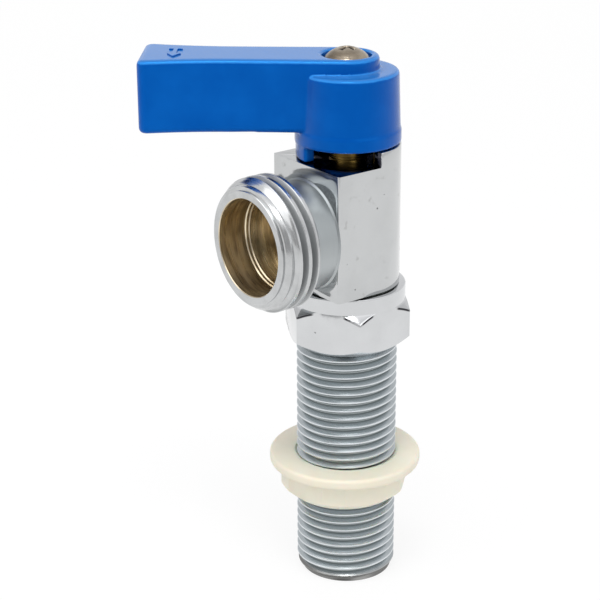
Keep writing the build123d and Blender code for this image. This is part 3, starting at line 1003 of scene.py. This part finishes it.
def makeNut():
    bottom, top = nut["bottom"], nut["top"]
    corner, foot = nut["cornerRadius"], nut["footRadius"]
    flangeBottom = top - nut["flangeThickness"]
    bore = nut["mouthRadius"] + 0.1
    grip = bmesh.new()
    turnProfile(grip, [(bore, bottom), (foot, bottom), (corner, bottom + (corner - foot) * nut["footSlope"]),
                       (corner, flangeBottom), (bore, flangeBottom)], steps=180)
    halfNarrow = nut["narrowFace"] / 2
    narrow = (corner ** 2 - halfNarrow ** 2) ** 0.5
    cornerTurn = atan(halfNarrow / narrow)
    wide = corner * cos(radians(30) - cornerTurn)
    for side in range(12):
        turn = radians(nut["cornerAngle"] + 30 * side)
        away = Vector((cos(turn), sin(turn), 0))
        cutSide(grip, away, wide if side % 2 else narrow)
    rims = [e for e in sharpEdges(grip, 12) if all(hypot(v.co.x, v.co.y) > bore + 0.2 for v in e.verts)
            and min(v.co.z for v in e.verts) < flangeBottom - 0.01]
    roundEdges(grip, rims, nut["edge"] / 2)
    plate = bmesh.new()
    turnProfile(plate, [(bore, flangeBottom), (nut["flangeRadius"], flangeBottom),
                        (nut["flangeRadius"], top), (bore, top)])
    rims = [e for e in sharpEdges(plate, 60) if all(hypot(v.co.x, v.co.y) > bore + 1 for v in e.verts)]
    roundEdges(plate, rims, nut["flangeEdge"], segments=5)
    for part, share in ((grip, 1.0), (plate, 0.75)):
        outside = [v for v in part.verts if hypot(v.co.x, v.co.y) > bore + 0.1]
        bmesh.ops.translate(part, vec=Vector(nut["loose"]) * share, verts=outside)
    joinMesh(grip, plate)
    lining = bmesh.new()
    addThread(lining, nut["thread"], turns=19)
    for height in (bottom + nut["mouthChamfer"], top - nut["mouthChamfer"]):
        cutFlat(lining, height)
    cutFlat(lining, bottom, up=False)
    cutFlat(lining, top, up=True)
    reach, mouth, root = nut["mouthChamfer"], nut["mouthRadius"], nut["thread"]["rootRadius"]
    limitRadius(lining, lambda radius, z: max(
        radius, mouth - min(z - bottom, top - z, reach) / reach * (mouth - root)))
    turnProfile(lining, [(bore, bottom), (bore, top)], closed=False)
    fillRing(lining, bottom, -1)
    fillRing(lining, top, 1)
    joinMesh(grip, lining)
    piece = makePiece("flangedNut", grip, [nutPlastic], sharp=22)
    settle(piece, "nut", "nut_plastic", "lock_nut")


makeNut()
print("lock nut made")


# ---------- inner pieces keep their CAD shape and take a finish

innerFinishes = {
    "stem": shadedStemBrass,
    "seat_retainer": boreBrass,
    "ball": ballChrome,
    "inlet_seat": seatPlastic,
    "outlet_seat": seatPlastic,
    "stem_thrust_washer": seatPlastic,
    "stem_oring_upper": ringRubber,
    "stem_oring_lower": ringRubber,
    "adapter_gasket": gasketFibre,
}
for name, material in innerFinishes.items():
    slots = nodes[name].data.materials
    slots.clear()
    slots.append(material)
print("inner pieces finished")


# ---------- floor, light and camera

studio = {
    "floorSize": 3.0,
    "floorColor": 0.86,
    "floorGlow": 0.86,
    "ambient": 0.62,
    "sky": 1.0,
    "cardDirection": (0.55, -0.79, 0.27),
    "cardLevel": 0.50,
}


def makeFloor():
    bm = bmesh.new()
    bmesh.ops.create_grid(bm, x_segments=2, y_segments=2, size=studio["floorSize"] / mm / 2)
    material, tree, shader = startMaterial("paleFloor", (studio["floorColor"],) * 3, 0.0, 0.9)
    path = addNode(tree, "ShaderNodeLightPath")
    seen = joinValues(tree, "MAXIMUM", path.outputs["Is Camera Ray"], path.outputs["Is Glossy Ray"],
                      path.outputs["Is Transmission Ray"])
    share = addNode(tree, "ShaderNodeMath", operation="MULTIPLY")
    share.inputs[1].default_value = studio["floorGlow"]
    tree.links.new(seen, share.inputs[0])
    glow = addNode(tree, "ShaderNodeEmission")
    mix = addNode(tree, "ShaderNodeMixShader")
    tree.links.new(share.outputs[0], mix.inputs[0])
    tree.links.new(shader.outputs[0], mix.inputs[1])
    tree.links.new(glow.outputs[0], mix.inputs[2])
    tree.links.new(mix.outputs[0], tree.nodes["Material Output"].inputs["Surface"])
    piece = makePiece("paleFloor", bm, [material])


def makeSky():
    world = bpy.data.worlds.new("studioSky")
    scene.world = world
    world.use_nodes = True
    tree = world.node_tree
    tree.nodes.clear()
    coords = addNode(tree, "ShaderNodeTexCoord")
    parts = addNode(tree, "ShaderNodeSeparateXYZ")
    tree.links.new(coords.outputs["Generated"], parts.inputs[0])
    ramp = addNode(tree, "ShaderNodeValToRGB")
    stops = ((0.0, 0.75), (0.12, 0.95), (0.45, 0.80), (0.75, 1.05), (1.0, 1.25))
    tree.links.new(parts.outputs["Z"], ramp.inputs["Fac"])
    while len(ramp.color_ramp.elements) < len(stops):
        ramp.color_ramp.elements.new(0.5)
    for element, (place, level) in zip(ramp.color_ramp.elements, stops):
        element.position = place
        element.color = (level, level, level * 1.01, 1)
    path = addNode(tree, "ShaderNodeLightPath")
    lit = addNode(tree, "ShaderNodeBackground")
    lit.inputs["Strength"].default_value = studio["ambient"]
    tree.links.new(ramp.outputs["Color"], lit.inputs["Color"])
    card = addNode(tree, "ShaderNodeVectorMath", operation="DOT_PRODUCT")  # the dark side behind the camera
    card.inputs[1].default_value = studio["cardDirection"]
    tree.links.new(coords.outputs["Generated"], card.inputs[0])
    mirrored = addNode(tree, "ShaderNodeBackground")
    tree.links.new(mapRange(tree, card.outputs["Value"], 0.78, 0.95, studio["sky"], studio["cardLevel"]),
                   mirrored.inputs["Strength"])
    tree.links.new(ramp.outputs["Color"], mirrored.inputs["Color"])
    seen = addNode(tree, "ShaderNodeBackground")
    seen.inputs["Strength"].default_value = 1.0
    seen.inputs["Color"].default_value = (1, 1, 1, 1)
    glossy = joinValues(tree, "MAXIMUM", path.outputs["Is Glossy Ray"], path.outputs["Is Transmission Ray"])
    first = addNode(tree, "ShaderNodeMixShader")
    tree.links.new(glossy, first.inputs[0])
    tree.links.new(lit.outputs[0], first.inputs[1])
    tree.links.new(mirrored.outputs[0], first.inputs[2])
    second = addNode(tree, "ShaderNodeMixShader")
    tree.links.new(path.outputs["Is Camera Ray"], second.inputs[0])
    tree.links.new(first.outputs[0], second.inputs[1])
    tree.links.new(seen.outputs[0], second.inputs[2])
    output = addNode(tree, "ShaderNodeOutputWorld")
    tree.links.new(second.outputs[0], output.inputs["Surface"])


def addSoftbox(name, place, size, power, mirrored=True):
    # a square softbox that looks at the middle of the valve
    lamp = bpy.data.lights.new(name, "AREA")
    lamp.shape, lamp.size, lamp.energy = "SQUARE", size, power
    box = bpy.data.objects.new(name, lamp)
    scene.collection.objects.link(box)
    box.location = place
    box.rotation_euler = (Vector((0, 0, 0.06)) - Vector(place)).to_track_quat("-Z", "Y").to_euler()
    box.visible_glossy = mirrored


makeFloor()
makeSky()
addSoftbox("softboxKey", (-0.05, -0.75, 0.75), 1.0, 3.8)
addSoftbox("softboxFill", (0.80, 0.05, 0.55), 0.8, 2.2)
addSoftbox("softboxBack", (-0.82, 0.62, 0.50), 0.7, 2.2, mirrored=False)
addSoftbox("softboxTop", (0.28, -0.26, 1.05), 0.3, 4.0)

view = {"turn": 0.921214, "tilt": 0.369742, "roll": -0.003983, "across": -9.5836, "away": 342.039,
        "height": 192.532, "lens": 107.942}


def makeCamera():
    turn, tilt, roll = view["turn"], view["tilt"], view["roll"]
    right = Vector((cos(turn), sin(turn), 0))
    ahead = Vector((-sin(turn) * cos(tilt), cos(turn) * cos(tilt), -sin(tilt)))
    up = right.cross(ahead)
    rolledRight = right * cos(roll) + up * sin(roll)
    rolledUp = up * cos(roll) - right * sin(roll)
    lens = bpy.data.cameras.new("photoCamera")
    lens.sensor_width, lens.lens = 36.0, view["lens"]
    lens.clip_start, lens.clip_end = 0.01, 10
    camera = bpy.data.objects.new("photoCamera", lens)
    scene.collection.objects.link(camera)
    axes = Matrix((rolledRight, rolledUp, -ahead)).transposed()
    place = right * view["across"] - Vector((-sin(turn), cos(turn), 0)) * view["away"]
    camera.matrix_world = Matrix.Translation((place + Vector((0, 0, view["height"]))) * mm) @ axes.to_4x4()
    scene.camera = camera


makeCamera()
scene.view_settings.view_transform = "Standard"
print("studio made")
